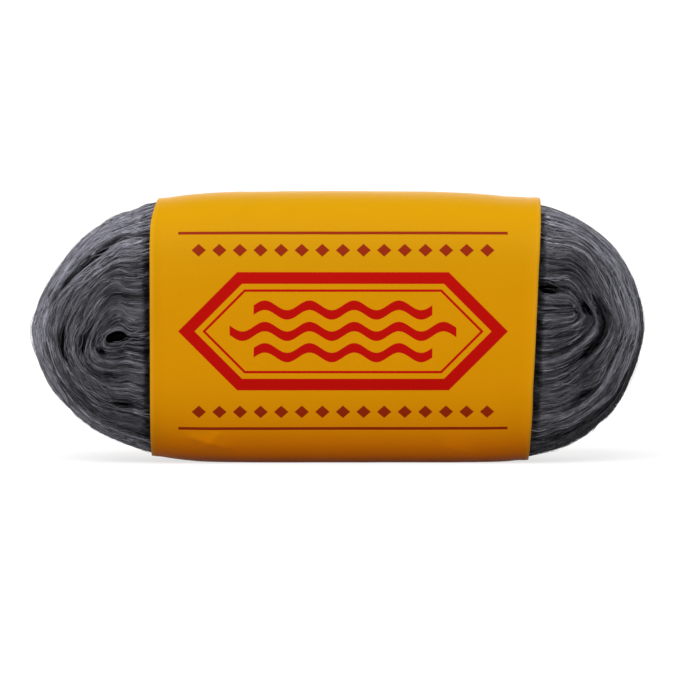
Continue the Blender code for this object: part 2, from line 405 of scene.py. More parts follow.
def beyond_band(points):
    """How far points lie beyond the band's edges, with the slant of the right one: negative under it."""
    slant = RIGHT_EDGE_SLANT / 2 * (points[..., 2] - MIDDLE_Z) / HALF_HEIGHT
    return np.maximum(BAND_LEFT_X - points[..., 0], points[..., 0] - BAND_RIGHT_X - slant)


def end_share(x):
    """0 under the band, and rising to 1 over the parts of the roll that show."""
    return smooth_share(outside_band(x) / (WAVE_LENGTH / 2))


def wandered(x, z, out):
    """Points of the loop's plane, moved by the winding's uneven run."""
    loose = end_share(x) * (1 - out**2)
    phase = 2 * math.pi / WAVE_LENGTH
    aside, up = WAVE * np.sin(phase * z + 1.3), WAVE * np.sin(phase * x + 0.6)
    knot = KNOT_WOBBLE * bell(np.hypot(x - SLIT_END_X, z - SLIT_END_ABOVE_MIDDLE), KNOT_RADIUS)
    for amount, length, row in ((WOBBLE, WOBBLE_LENGTH, 0), (knot, KNOT_LENGTH, 80)):
        aside = aside + amount * WOBBLE_GRAIN(row + x / length, z / length)
        up = up + amount * WOBBLE_GRAIN(z / length, row + 40 + x / length)
    return x + loose * aside, z + loose * up


def opening(place):
    """How far the groove is open between a turn and the next one out, from 0, closed, to 1."""
    widest, half_length, wider = WIDE_GROOVE
    wide = wider * bell(place - widest, half_length)
    return np.clip((groove_depth(place) - 2 * GROOVE_DEPTH) / GROOVE_DEPTH, 0.0, 1.0) + wide


def ribbon_place(turn, share):
    """How far out a place across the ribbon lies, how far out the ribbon goes there, and the whole reach."""
    core_x, core_z, rim_x_, rim_z = loop_at(turn)
    reach = np.hypot(rim_x_ - core_x, rim_z - core_z)
    inner, outer = layer(turn)
    outer = np.minimum(outer, RIM_SHARE)
    outer = np.where(outer < RIM_SHARE, np.minimum(outer + TURN_OVERLAP / reach, RIM_SHARE), outer)
    return inner + share * (outer - inner), outer, reach


def level_of(out):
    """How deep the roll is this far out, as a share of its depth at the core."""
    return (1 - out**FACE_FULLNESS) ** (1 / FACE_FULLNESS)


def furrow(turn, x, depth):
    """How deep the outside of the outermost turn is furrowed, at a distance from the middle of its width."""
    drift = FURROW_DRIFT * np.sin(FURROW_DRIFT_PER_TURN * turn)
    past_ridge = np.maximum(0.0, depth - MIDDLE_RIDGE_WIDTH / 2 - drift)
    swell = 0.5 - 0.5 * np.cos(2 * math.pi * past_ridge / FURROW_SPACING)
    return FURROW_DEPTH * swell * fullness(turn) * end_share(x) * (turn >= TURNS - 1)


def groove_at(turn, share):
    """How deep the grooves on both sides of the ribbon are at a place across it."""
    outer_groove = groove_depth(turn) * fullness(turn + 1)
    inner_groove = groove_depth(turn - 1) * fullness(turn)
    return np.where(share > 0.5, outer_groove, inner_groove) * np.abs(2 * share - 1) ** GROOVE_SHARPNESS


def tucked(turn):
    """How far the outermost turn lies behind the next one in at the lower right."""
    place, half_length, depth = TUCKED_TURN
    return depth * np.exp(-(((turn - place) / half_length) ** 4))


def set_back(turn, x):
    """How far the ribbon's edge lies behind the fullest face at x."""
    uneven = TURN_SETBACK * (0.5 - 0.5 * np.cos(SETBACK_PER_TURN * turn))
    return (uneven + tucked(turn)) * end_share(x)


def face_place(turn, share, side, open_share=1.0):
    """Points on the ribbon's edge: share 0 is its inner face, 1 its outer; side -1 is in front, 1 behind."""
    core_x, core_z, rim_x_, rim_z = loop_at(turn)
    out, _, reach = ribbon_place(turn, share)
    level = level_of(out)
    outer_gap = opening(turn) * (GROOVE_OPENING + TURN_OVERLAP) * (turn < TURNS - 1)
    inner_gap = opening(turn - 1) * GROOVE_OPENING * (turn >= 1)
    gap = np.where(share > 0.5, -outer_gap, inner_gap)
    out = np.clip(out + open_share * gap * np.abs(2 * share - 1) ** OPENING_SHARPNESS / reach, 0.0, 1.0)
    x = core_x + out * (rim_x_ - core_x)
    z = core_z + out * (rim_z - core_z)
    depth = level * np.maximum(half_depth(x) - groove_at(turn, share) - set_back(turn, x), 0.0)
    sunk = furrow(turn, x, half_depth(x) * level) * (1 - level**2) * share / reach
    x, z = x - sunk * (rim_x_ - core_x), z - sunk * (rim_z - core_z)
    x, z = wandered(x, z, out)
    height = np.maximum(z + MIDDLE_Z, PAPER_THICKNESS + PAPER_CLEARANCE)
    return stacked(x, side * depth, height)


def rim_level(turn, across):
    """How far from the roll's middle a place over the rim lies, as a share of the depth at the core."""
    return np.minimum(np.abs(across), 1.0) * level_of(layer(turn)[0])


def rim_share(turn, across):
    """The share across the outermost turn that lies at a place over its rim, from -1 in front to 1 behind."""
    inner = layer(turn)[0]
    out = level_of(rim_level(turn, across))
    return np.clip((out - inner) / np.maximum(RIM_SHARE - inner, 1e-6), 0.0, 1.0)


def rim_place(turn, across, side):
    """Points on the outermost turn: across runs from -1, its inner edge in front, to 1 behind."""
    place = face_place(turn, rim_share(turn, across), np.sign(across))
    level = rim_level(turn, across)
    flat = np.sign(across) * level * (half_depth(place[..., 0]) - set_back(turn, place[..., 0]))
    place[..., 1] = np.where(level < level_of(RIM_SHARE), flat, place[..., 1])
    return place


def dipped(points):
    """Points on the faces moved in where they lie right beside the band's edges."""
    on_face = smooth_share(2 * np.abs(points[..., 1]) / HALF_DEPTH)
    width = EDGE_DIP_WIDTH * (1 + 0.4 * WOBBLE_GRAIN(points[..., 2] / 0.004, 90.5 + np.sign(points[..., 0])))
    dip = EDGE_DIP * on_face * bell(beyond_band(points), width)
    return points - stacked(0 * dip, np.sign(points[..., 1]) * dip, 0 * dip)


def strand_relief(turn, share, side):
    """How high the matted strands lie on the solids' outline: below it, and lowest in the creases between."""
    out, outer, reach = ribbon_place(turn, share)
    across = side * ((outer - out) * reach + level_of(out) * HALF_DEPTH) + 0.3 * np.floor(turn)
    along = np.mod(turn, 1.0) * LOOP_LENGTH * np.maximum(out, 0.25)
    room = np.minimum(1.0, (outer - layer(turn)[0]) * reach / ROOM_FOR_CREASES)
    room = room * (RIM_CREASES + (1 - RIM_CREASES) * level_of(out) ** 2)
    near_edge = np.where((turn >= TURNS - 1) & (share > 0.5), 0.0, np.abs(2 * share - 1))
    room = room * (1 - near_edge**6)
    relief = -WOOL_SINK
    for grain, (length, width, depth, crease_share) in zip(STRAND_GRAINS, STRANDS):
        crease = np.maximum(0.0, 1 - np.abs(grain(along / length, across / width)) / crease_share)
        relief = relief - room * depth * crease**1.5
    return relief


def painted_hollow_shade(turn, share, side):
    """Painted shade: how deep a place lies in the creases, grooves and where the outermost turn lies back,
    from 0 on the strands to 1, where no light gets in.
    """
    grooves = groove_at(turn, share) * level_of(boundary(turn - 0.5)) + 0.5 * tucked(turn)
    return smooth_share((grooves - strand_relief(turn, share, side) - WOOL_SINK) / HOLLOW_DEPTH)


def face_painted_light(turn, share, points):
    """Painted light on a spiral face: how much lighter than its core the wool is, most in the outer turns
    near the top and falling off below the middle, as light from above falls; darker in the core at the right.
    """
    outer = smooth_share((ribbon_place(turn, share)[0] - 0.40) / 0.45)
    up = (points[..., 2] - MIDDLE_Z) / HALF_HEIGHT
    at_right = points[..., 0] > 0
    fall = np.where(up > 0, 1.2, np.where(at_right, FALL_TO_UNDERSIDE[1], FALL_TO_UNDERSIDE[0]))
    return OUTER_SHADE * outer * (1 + fall * up) - RIGHT_CORE_SHADE * at_right * (1 - outer)


def mesh_object(name, points, face_sets, finish):
    """An object of numbered points and sets of faces; the faces of a set all have as many corners."""
    mesh = bpy.data.meshes.new(name)
    mesh.vertices.add(points.size // 3)
    mesh.vertices.foreach_set("co", np.asarray(points, np.float32).ravel())
    corners = np.concatenate([faces.ravel() for faces in face_sets])
    sizes = np.concatenate([np.full(len(faces), faces.shape[1]) for faces in face_sets])
    mesh.loops.add(len(corners))
    mesh.loops.foreach_set("vertex_index", corners.astype(np.int32))
    mesh.polygons.add(len(sizes))
    starts = np.concatenate([[0], np.cumsum(sizes)[:-1]])
    mesh.polygons.foreach_set("loop_start", starts.astype(np.int32))
    mesh.update(calc_edges=True)
    mesh.validate()
    mesh.shade_smooth()
    mesh.materials.append(finish)
    made = bpy.data.objects.new(name, mesh)
    bpy.context.scene.collection.objects.link(made)
    return made


def point_values(thing, name, values):
    """Numbers for the materials, one for each point of a mesh."""
    layer_made = thing.data.attributes.new(name, "FLOAT", "POINT")
    layer_made.data.foreach_set("value", np.asarray(values, np.float32).ravel())


def point_vectors(thing, name, vectors):
    layer_made = thing.data.attributes.new(name, "FLOAT_VECTOR", "POINT")
    layer_made.data.foreach_set("vector", np.asarray(vectors, np.float32).ravel())


def corner_map(thing, per_point):
    """The map that is baked to, from one (u, v) for each point."""
    layer_made = thing.data.uv_layers.new(name="OFBake")
    corners = np.empty(len(thing.data.loops), np.int32)
    thing.data.loops.foreach_get("vertex_index", corners)
    layer_made.uv.foreach_set("vector", np.asarray(per_point, np.float32).reshape(-1, 2)[corners].ravel())


def grid_faces(rows, columns, wrap_rows=False):
    """The quads of a grid of points numbered row by row and closed across its columns."""
    row = np.arange(rows if wrap_rows else rows - 1)[:, None]
    column = np.arange(columns)[None, :]
    after, beside = (row + 1) % rows, (column + 1) % columns
    corners = ((row, column), (row, beside), (after, beside), (after, column))
    return stacked(*(of_row * columns + of_column for of_row, of_column in corners)).reshape(-1, 4)


def tube_faces(rows, columns):
    """The faces of a tube of numbered rings, closed at both ends."""
    ring = np.arange(columns)[None, :]
    return [grid_faces(rows, columns), ring[:, ::-1], ring + (rows - 1) * columns]


def grid_normals(points):
    """Unit normals of a grid of points, rows by columns, closed across its columns."""
    along = np.gradient(points, axis=0)
    across = (np.roll(points, -1, axis=1) - np.roll(points, 1, axis=1)) / 2
    return unit(np.cross(along, across))


def section_turns(first, last):
    """Places along the ribbon, in turns: close together where the roll shows, and few under the band."""
    edges = [0.0, 1.0]
    for x in (BAND_LEFT_X, BAND_RIGHT_X):
        edges += LOOP_SHARE[np.nonzero(np.diff(np.sign(LOOP[:, 2] - x)))[0]].tolist()
    edges.sort()
    counts = (HIDDEN_SECTIONS, END_SECTIONS, HIDDEN_SECTIONS, END_SECTIONS, HIDDEN_SECTIONS)
    spans = zip(edges, edges[1:], counts)
    shares = np.concatenate([np.linspace(start, end, count, endpoint=False) for start, end, count in spans])
    turns = (np.arange(TURNS)[:, None] + shares[None, :]).ravel()
    return np.concatenate([turns[(turns >= first) & (turns < last)], [last]])[:, None]


def wool_piece(name, points, relief, hollow, finish):
    """A closed length of ribbon from its sections, with its strands and streaks raised where it shows."""
    rows, columns = points.shape[:2]
    steps_along = norm(np.diff(points, axis=0, prepend=points[:1])).mean(axis=1)
    across = np.cumsum(norm(np.diff(points, axis=1, prepend=points[:, :1])), axis=1)
    along = np.broadcast_to(np.cumsum(steps_along)[:, None], across.shape)
    length, width, height = FINE_STREAKS
    relief = relief + height * STREAK_GRAIN(along / length, across / width)
    relief = relief * smooth_share(beyond_band(points) / STRANDS_FADE)
    # Painted shade right beside the band's edges
    hollow = np.maximum(hollow, bell(beyond_band(points), EDGE_SHADE_WIDTH))
    normals = grid_normals(points)
    outward = np.sign((normals[..., 1] * points[..., 1]).sum())
    points = dipped(points + normals * outward * relief[..., None])
    faces = tube_faces(rows, columns)
    if outward > 0:
        faces = [group[:, ::-1] for group in faces]
    piece = mesh_object(name, points, faces, finish)
    point_vectors(piece, "combed", stacked(along, across, 0 * along))
    point_values(piece, "hollow", hollow)
    corner_map(piece, stacked(np.arange(rows)[:, None] / (rows - 1), np.arange(columns) / (columns - 1)))
    return piece


def inner_turns(finish):
    """All turns but the outermost."""
    turns = section_turns(TAPER, TURNS - 1.0)
    shares = (0.5 + 0.5 * np.cos(math.pi * np.arange(FACE_POINTS) / (FACE_POINTS - 1)))[None, :]
    depths = np.linspace(-HIDDEN_DEPTH, HIDDEN_DEPTH, HIDDEN_POINTS)
    none = np.zeros((len(turns), HIDDEN_POINTS))
    points, relief, hollow = [], [], []
    for side, edge_shares, face_share in ((-1.0, shares, 0.0), (1.0, shares[:, ::-1], 1.0)):
        between = face_place(turns, face_share + none[:1], 1.0, open_share=0.0)
        between[..., 1] *= -side * depths
        points += [face_place(turns, edge_shares, side), between]
        relief += [strand_relief(turns, edge_shares, side), none]
        # Painted shade: the hidden walls of the gaps between turns are fully dark
        hollow += [painted_hollow_shade(turns, edge_shares, side), none + 1]
    joined = [np.concatenate(parts, axis=1) for parts in (points, relief, hollow)]
    return wool_piece("inner_turns", *joined, finish)


def core_mat(finish):
    """The matted start of the ribbon, which closes the eye and the slit deep inside, painted dark there as
    shade.
    """
    xs = np.linspace(EYE_X - EYE_WIDTH / 2 - CORE_MARGIN, SLIT_END_X + CORE_MARGIN, CORE_SECTIONS)[:, None]
    angles = np.linspace(0, 2 * math.pi, CORE_POINTS, endpoint=False)[None, :]
    from_end = np.minimum(xs - xs[0], xs[-1] - xs) + 1e-5
    height = (slit_half_height(xs) + CORE_MARGIN) * np.sqrt(np.clip(from_end / CORE_MARGIN, 0.01, 1.0))
    from_eye = smooth_share((xs - EYE_X - 0.4 * EYE_WIDTH) / 0.0015)
    setback = CORE_SETBACK + from_eye * (SLIT_SETBACK - CORE_SETBACK)
    depth = (half_depth(xs) - setback) * (1 + 0.02 * CORE_GRAIN(xs / 0.002, np.sin(angles)))
    across = signed_power(np.cos(angles), 0.5) * depth
    up = slit_middle(xs) + np.sin(angles) * height
    x, z = wandered(xs + 0 * up, up, 0.0)
    points = stacked(x, across, z + MIDDLE_Z)
    mat = mesh_object("core_mat", points, tube_faces(CORE_SECTIONS, CORE_POINTS), finish)
    point_vectors(mat, "combed", stacked(xs, angles * 0.01, 0 * xs))
    # Painted shade: darkest at the eye, and dark along the slit
    point_values(mat, "hollow", np.broadcast_to(1 - 0.7 * from_eye, x.shape))
    corner_map(mat, stacked((xs - xs[0]) / (xs[-1] - xs[0]), angles / 7))
    return mat


def outer_turn(finish):
    """The outermost turn: the roll's whole outside, and the edges of it that show in front and behind."""
    turns = section_turns(TURNS - 1.0, TURNS - TAPER)
    even = np.linspace(-1, 1, OUTER_TURN_POINTS)
    across = (0.5 * even + 0.5 * np.sin(even * math.pi / 2))[None, :]
    points = rim_place(turns, across, np.sign(across))
    place = (turns, rim_share(turns, across), np.sign(across))
    return wool_piece("outer_turn", points, strand_relief(*place), painted_hollow_shade(*place), finish)


class Surface(NamedTuple):
    """Wool that fibres lie over. Its limits are the first and last turn and the least and most across."""

    place: object  # the function that gives its points
    starts: tuple  # limits for the starts of locks and single fibres
    locks: tuple  # limits for the starts of a lock's fibres
    runs: tuple  # limits for whole fibres
    length: float  # of a fibre
    shade: float  # of a fibre, from 0, dark, to 1, light


FACES = Surface(
    face_place,
    (TAPER + 0.02, TURNS - 1.0, 0.03, 0.97),
    (TAPER + 0.01, TURNS - 1.001, 0.01, 0.99),
    (TAPER + 0.005, TURNS - 1.001, 0.01, 0.99),
    FACE_FIBRE_LENGTH,
    FACE_SHADE,
)
OUTSIDE = Surface(
    rim_place,
    (TURNS - 1.0, TURNS - TAPER - 0.01, -0.97, 0.97),
    (TURNS - 1.0, TURNS - TAPER - 0.01, -0.99, 0.99),
    (TURNS - 1.0, TURNS - TAPER - 0.005, -0.99, 0.99),
    RIM_FIBRE_LENGTH,
    RIM_SHADE,
)


def slopes(place, turn, across, side):
    """Where a place is, and how far it moves for one turn and for one step across, as vectors."""
    small = 1e-4
    inwards = -small * np.sign(across)
    here = place(turn, across, side)
    ahead = (place(turn + small, across, side) - here) / small
    beside = (place(turn, across + inwards, side) - here) / inwards[..., None]
    return here, ahead, beside


def spread_starts(rng, count, surface):
    """Random places spread evenly over what shows of a surface."""
    first, last, low, high = surface.starts
    kept = np.empty((0, 3))
    while len(kept) < count:
        turn = rng.uniform(first, last, 4 * count)
        across = rng.uniform(low, high, 4 * count)
        side = rng.choice([-1.0, 1.0], 4 * count)
        here, ahead, beside = slopes(surface.place, turn, across, side)
        area = norm(np.cross(ahead, beside))
        even = rng.uniform(0, 1, len(area)) < area / np.quantile(area, 0.98)
        chosen = even & (beyond_band(here) > -TUCK / 2)
        kept = np.concatenate([kept, np.stack([turn, across, side], axis=1)[chosen]])
    return kept[:count].T


def outwards(turn, facing, on_rim):
    """Roughly which way the wool faces at a place."""
    core_x, core_z, rim_x_, rim_z = loop_at(turn)
    return stacked(on_rim * (rim_x_ - core_x), facing * 0.01, on_rim * (rim_z - core_z))


def painted_light_and_shade(turn, share, facing, here, on_rim):
    """Painted light and shade on a fibre at a place: how much lighter than its own shade it is, lighter in
    the outer turns near the top and darker underneath, in hollows and beside the band's edges.
    """
    below = smooth_share((MIDDLE_Z - here[:, 2]) / HALF_HEIGHT)
    outside_shade = -UNDER_SHADE * below - TUCKED_SHADE * tucked(turn) / TUCKED_TURN[2]
    paler = outside_shade if on_rim else face_painted_light(turn, share, here)
    band_edge_shade = EDGE_SHADE * bell(beyond_band(here), EDGE_SHADE_WIDTH)
    return paler - HOLLOW_SHADE * painted_hollow_shade(turn, share, facing) - band_edge_shade


def traced(surface, starts, way, lengths, slants, swings, lifts):
    """Fibre paths that follow the winding from their starts: points, outward normals and changes of shade,
    which are painted light and shade.
    """
    turn, across, side = (values.copy() for values in starts)
    on_rim = surface is OUTSIDE
    first, last, low, high = surface.runs
    points, normals, changes = [], [], []
    for run in np.linspace(0, 1, FIBRE_POINTS):
        here, ahead, beside = slopes(surface.place, turn, across, side)
        facing = np.sign(across) if on_rim else side
        share = rim_share(turn, across) if on_rim else across
        normal = unit(np.cross(ahead, beside))
        normal *= np.sign((normal * outwards(turn, facing, on_rim)).sum(axis=-1, keepdims=True))
        beyond = beyond_band(here)
        clear = smooth_share((beyond + 0.0002) / FIBRES_FADE)
        relief = strand_relief(turn, share, facing) + lifts[:, 0] + lifts[:, 1] * math.sin(math.pi * run)
        points.append(dipped(here + normal * (FIBRE_CLEARANCE + clear * relief)[:, None]))
        normals.append(normal)
        changes.append(painted_light_and_shade(turn, share, facing, here, on_rim))
        step = lengths / (FIBRE_POINTS - 1) * np.where(beyond > -TUCK, 1.0, TUCKED_STEPS)
        swing = sum(sway * np.cos(phase + 2 * math.pi * waves * run) for sway, phase, waves in swings)
        turn = np.clip(turn + way * step / np.maximum(norm(ahead), 1e-5), first, last)
        across = np.clip(across + (slants + swing) * step / np.maximum(norm(beside), 1e-5), low, high)
    return [np.stack(values, axis=1) for values in (points, normals, changes)]


def fibre_mesh(name, traces, radii, shades, finish):
    """Closed three-sided fibres along the traced paths, thinning towards both ends."""
    paths, normals, changes = traces
    count, steps = paths.shape[:2]
    along = unit(np.gradient(paths, axis=1))
    across = unit(np.cross(along, normals))
    up = np.cross(across, along)
    profile = np.full(steps, 1.0)
    profile[0] = profile[-1] = FIBRE_TIP
    thickness = (radii[:, None] * profile)[..., None]
    angles = [math.pi / 2 + corner * 2 * math.pi / 3 for corner in range(3)]
    rings = [paths + (across * math.cos(angle) + up * math.sin(angle)) * thickness for angle in angles]
    first = (np.arange(count) * steps * 3)[:, None, None]
    face_sets = [(faces[None] + first).reshape(-1, faces.shape[1]) for faces in tube_faces(steps, 3)]
    made = mesh_object(name, np.stack(rings, axis=2), face_sets, finish)
    # Each fibre's own shade, with the painted light and shade along it
    shades = np.clip(shades[:, None] + changes, 0.0, 1.0)
    point_values(made, "shade", np.repeat(shades.ravel(), 3))
    corner_map(made, fibre_cells(count, steps))
    return made


def fibre_cells(count, steps):
    """A place of its own on a square map for each fibre, as a narrow strip."""
    wide = max(1, int(math.sqrt(count / 6)))
    tall = math.ceil(count / wide)
    fibre = np.arange(count)[:, None, None]
    u = (fibre % wide + 0.1 + 0.8 * np.arange(steps)[:, None] / (steps - 1)) / wide
    v = (fibre // wide + 0.2 + 0.3 * np.arange(3)) / tall
    return stacked(u, v)


def per_lock(values):
    """Values drawn for each lock, repeated for each fibre in it."""
    return np.repeat(values, FIBRES_PER_LOCK, axis=-1)


def locks_of_fibres(name, surface, seed, finish):
    """Fibres in locks: the ones of a lock start near each other, run alike and crown up across it."""
    rng = np.random.default_rng(seed)
    starts = per_lock(spread_starts(rng, LOCKS_PER_PIECE, surface))
    count = starts.shape[1]
    along, across = (np.maximum(norm(slope), 1e-5) for slope in slopes(surface.place, *starts)[1:])
    aside = rng.normal(0, 1, count)
    first, last, low, high = surface.locks
    starts[0] = np.clip(starts[0] + rng.normal(0, LOCK_SCATTER, count) / along, first, last)
    starts[1] = np.clip(starts[1] + LOCK_WIDTH * aside / across, low, high)
    in_lock = per_lock(rng.normal(0, 1, (4, LOCKS_PER_PIECE)))
    own = rng.normal(0, 1, (4, count))
    tightness = np.clip(starts[0] / TURNS, 0.25, 1.0)
    lengths = surface.length * tightness * np.exp(LENGTH_VARIES[0] * in_lock[0] + LENGTH_VARIES[1] * own[0])
    slants = SLANT_VARIES[0] * in_lock[1] + SLANT_VARIES[1] * own[1]
    way = per_lock(rng.choice([-1.0, 1.0], LOCKS_PER_PIECE))
    lock_phase = per_lock(rng.uniform(0, 2 * math.pi, LOCKS_PER_PIECE))
    lock_waves = per_lock(rng.uniform(0.6, 1.6, LOCKS_PER_PIECE))
    swings = [
        (SWAY[0] * np.abs(in_lock[3]), lock_phase, lock_waves),
        (SWAY[1] * np.abs(own[2]), rng.uniform(0, 2 * math.pi, count), rng.uniform(0.7, 2.2, count)),
    ]
    crown = LOCK_CROWN * np.exp(-(aside**2) / 2)
    lifts = np.stack([0.00008 + crown + 0.00005 * np.abs(own[3]), 0.00006 * np.abs(own[1])], axis=1)
    traces = traced(surface, starts, way, lengths, slants, swings, lifts)
    radii = FIBRE_RADIUS * np.exp(0.22 * own[0])
    shades = surface.shade + SHADE_VARIES[0] * in_lock[2] + SHADE_VARIES[1] * own[1]
    shades = shades + LONG_LOCKS_PALER * (in_lock[0] ** 2 - 1)
    return fibre_mesh(name, traces, radii, shades, finish)


def stray_fibres(name, surface, seed, finish):
    """Single fibres that cross the others and stand a little off the wool."""
    rng = np.random.default_rng(seed)
    starts = spread_starts(rng, STRAY_FIBRES, surface)
    own = rng.normal(0, 1, (5, STRAY_FIBRES))
    lengths = STRAY_LENGTH * np.clip(starts[0] / TURNS, 0.3, 1.0) * np.exp(0.3 * own[0])
    way = rng.choice([-1.0, 1.0], STRAY_FIBRES)
    phase = rng.uniform(0, 2 * math.pi, STRAY_FIBRES)
    swings = [(STRAY_SWAY * np.abs(own[2]), phase, rng.uniform(0.7, 2.2, STRAY_FIBRES))]
    lifts = np.stack([STRAY_LIFT + 0.00008 * np.abs(own[3]), 0.0003 * np.abs(own[4])], axis=1)
    traces = traced(surface, starts, way, lengths, STRAY_SLANT * own[1], swings, lifts)
    radii = 0.8 * FIBRE_RADIUS * np.exp(0.2 * own[3])
    return fibre_mesh(name, traces, radii, STRAY_SHADE + 0.2 * own[0], finish)


def reach_from_slit(x, towards):
    """How far it is at x from the slit's middle line to the rim above or, towards a negative value, below."""
    return rim_height(x, towards) - np.where(towards < 0, -1.0, 1.0) * slit_middle(x)


def back_angle(x, height):
    """The angle round the band's section at which its back lies at a height above the middle."""
    above = height - slit_middle(x)
    share = np.abs(above) / reach_from_slit(x, above)
    return np.sign(above) * np.arcsin(share ** (FACE_FULLNESS / 2))


def band_point(x, angle, offset):
    """Points this far outside the wool, at an angle round the section from its back over the top."""
    up = signed_power(np.sin(angle), 2 / FACE_FULLNESS)
    back = signed_power(np.cos(angle), 2 / FACE_FULLNESS)
    reach = reach_from_slit(x, up)
    depth = half_depth(x)
    normal_z = signed_power(up, FACE_FULLNESS - 1) / reach
    normal_y = signed_power(back, FACE_FULLNESS - 1) / depth
    size = np.hypot(normal_y, normal_z)
    height = slit_middle(x) + reach * up + offset * normal_z / size
    floor = np.maximum(PAPER_THICKNESS + PAPER_CLEARANCE - offset, 0.0)
    y = depth * back + offset * normal_y / size
    return stacked(x, y, np.maximum(height + MIDDLE_Z, floor))


CREASES = (
    # x and height above the middle of each end, width, height of the fold
    ((-0.0455, -0.0300), (-0.0290, -0.0345), 0.0016, 0.00055),
    ((-0.0400, -0.0350), (-0.0335, -0.0285), 0.0012, 0.00040),
    ((-0.0330, 0.0330), (-0.0250, 0.0368), 0.0022, 0.00045),
    ((-0.0190, 0.0372), (-0.0120, 0.0340), 0.0020, 0.00040),
    ((0.0300, -0.0330), (0.0420, -0.0360), 0.0018, 0.00035),
)
PAPER_GRAIN = Grain(21)
EDGE_GRAIN = Grain(22)


def band_relief(x, height, from_left, from_right):
    """How far the paper stands off where it would lie tight, all over the band."""
    relief = 0.00010 * (1 + PAPER_GRAIN(x / 0.022 + 3.1, height / 0.017 + 7.7))
    relief = relief + 0.00004 * (1 + PAPER_GRAIN(x / 0.007, height / 0.009))
    for (x0, z0), (x1, z1), width, lift in CREASES:
        length = math.hypot(x1 - x0, z1 - z0)
        along = ((x - x0) * (x1 - x0) + (height - z0) * (z1 - z0)) / length
        across = ((x - x0) * (z1 - z0) - (height - z0) * (x1 - x0)) / length
        ends = smooth_share(along / (0.3 * length)) * smooth_share((length - along) / (0.3 * length))
        relief = relief + lift * ends * np.exp(-np.abs(across) / width)
    lifted = smooth_share((x - LIFT_FROM) / LIFT_LENGTH) * smooth_share((height - CORNER_FROM) / 0.008)
    relief = relief + CORNER_LIFT * lifted
    for distance, row in ((from_left, 0.5), (from_right, 9.5)):
        flare = EDGE_FLARE * (1 + 0.7 * EDGE_GRAIN(height / 0.013, row))
        relief = relief + flare * (1 - smooth_share(distance / EDGE_FLARE_WIDTH))
    return relief


def band_angles(xs):
    """The angle of each row round the band at each x, and how many layers of paper lie there."""
    low, high = -LAP_HEIGHT / 2, LAP_HEIGHT / 2
    heights = np.linspace(low + LAP_STEP, high, LAP_ROWS)
    lap = np.stack([back_angle(xs, height) for height in heights])
    start, end = lap[-1], 2 * math.pi + back_angle(xs, low)
    shares = (np.arange(1, BAND_RING + 1) / BAND_RING)[:, None]
    angles = np.concatenate([lap, start[None] + shares * (end - start)[None]])
    layers = np.concatenate([np.full(LAP_ROWS, 2.0), np.full(BAND_RING, 1.0)])
    layers[LAP_ROWS : LAP_ROWS + 5] += np.linspace(0.9, 0.1, 5)
    return angles, layers


def front_middle(inner, around):
    """How far round each column of the band the middle of its front lies."""
    places = []
    for column in range(inner.shape[1]):
        front = inner[:, column, 1] < 0
        places.append(np.interp(-MIDDLE_Z, -inner[front, column, 2], around[front, column]))
    return np.array(places)[None, :]


def paper_band(finish):
    """One strip of paper round the roll, with its edges a little loose and the lap at the back."""
    shares = 0.5 - 0.5 * np.cos(math.pi * np.arange(BAND_COLUMNS + 1) / BAND_COLUMNS)
    shares = 0.75 * np.arange(BAND_COLUMNS + 1) / BAND_COLUMNS + 0.25 * shares
    straight = BAND_LEFT_X + shares * (BAND_RIGHT_X - BAND_LEFT_X)
    angles, layers = band_angles(straight)
    straight = np.broadcast_to(straight, angles.shape)
    height = band_point(straight, angles, 0.0)[..., 2] - MIDDLE_Z
    ragged = RAGGEDNESS * (1 - shares) * EDGE_GRAIN(height / 0.008, 30.5)
    ragged = ragged + RAGGEDNESS * shares * EDGE_GRAIN(height / 0.008, 40.5)
    drawn_in = (1 - shares) * CORNER_DRAWN_IN * np.maximum(0.0, (height - CORNER_FROM) / 0.008) ** 2
    x = straight + shares * RIGHT_EDGE_SLANT / 2 * height / HALF_HEIGHT + ragged + drawn_in
    inner = band_point(x, angles, PAPER_CLEARANCE)
    relief = band_relief(x, height, x - x[:, :1], x[:, -1:] - x)
    thick = layers[:, None] * PAPER_THICKNESS
    inner_face = band_point(x, angles, PAPER_CLEARANCE + relief)
    outer_face = band_point(x, angles, PAPER_CLEARANCE + relief + thick)
    around = np.cumsum(norm(np.diff(inner, axis=0, prepend=inner[:1])), axis=0)
    around = front_middle(inner, around) - around
    points = np.concatenate([inner_face, outer_face[:, ::-1]], axis=1)
    rows, columns = points.shape[:2]
    band = mesh_object("paper_wrap", points, [grid_faces(rows, columns, wrap_rows=True)], finish)
    inside = stacked(x, around, 0 * x + 1)
    printed = stacked(x, around, 0 * x)
    point_vectors(band, "printed", np.concatenate([inside, printed[:, ::-1]], axis=1))
    from_edge = np.minimum(x - x[:, :1], x[:, -1:] - x)
    point_values(band, "from_edge", np.concatenate([from_edge, from_edge[:, ::-1]], axis=1))
    u = np.concatenate([0.48 * shares, 0.52 + 0.48 * (1 - shares[::-1])])
    corner_map(band, stacked(u, np.arange(rows)[:, None] / rows))
    return band


def set_inputs(node, inputs):
    """Gives a node's inputs numbers, vectors and colours, or links them to outputs of other nodes."""
    for key, value in inputs.items():
        if isinstance(value, bpy.types.NodeSocket):
            node.id_data.links.new(value, node.inputs[key])
        else:
            node.inputs[key].default_value = value


def add_node(tree, kind, inputs, **settings):
    """A new shader node with its inputs and settings."""
    node = tree.nodes.new("ShaderNode" + kind)
    for setting, value in settings.items():
        setattr(node, setting, value)
    set_inputs(node, inputs)
    return node


def sums_in(tree):
    """A function for sums as shader nodes: each call adds one Math node and gives its output."""

    def sums(operation, *values):
        return add_node(tree, "Math", dict(enumerate(values)), operation=operation).outputs[0]

    return sums


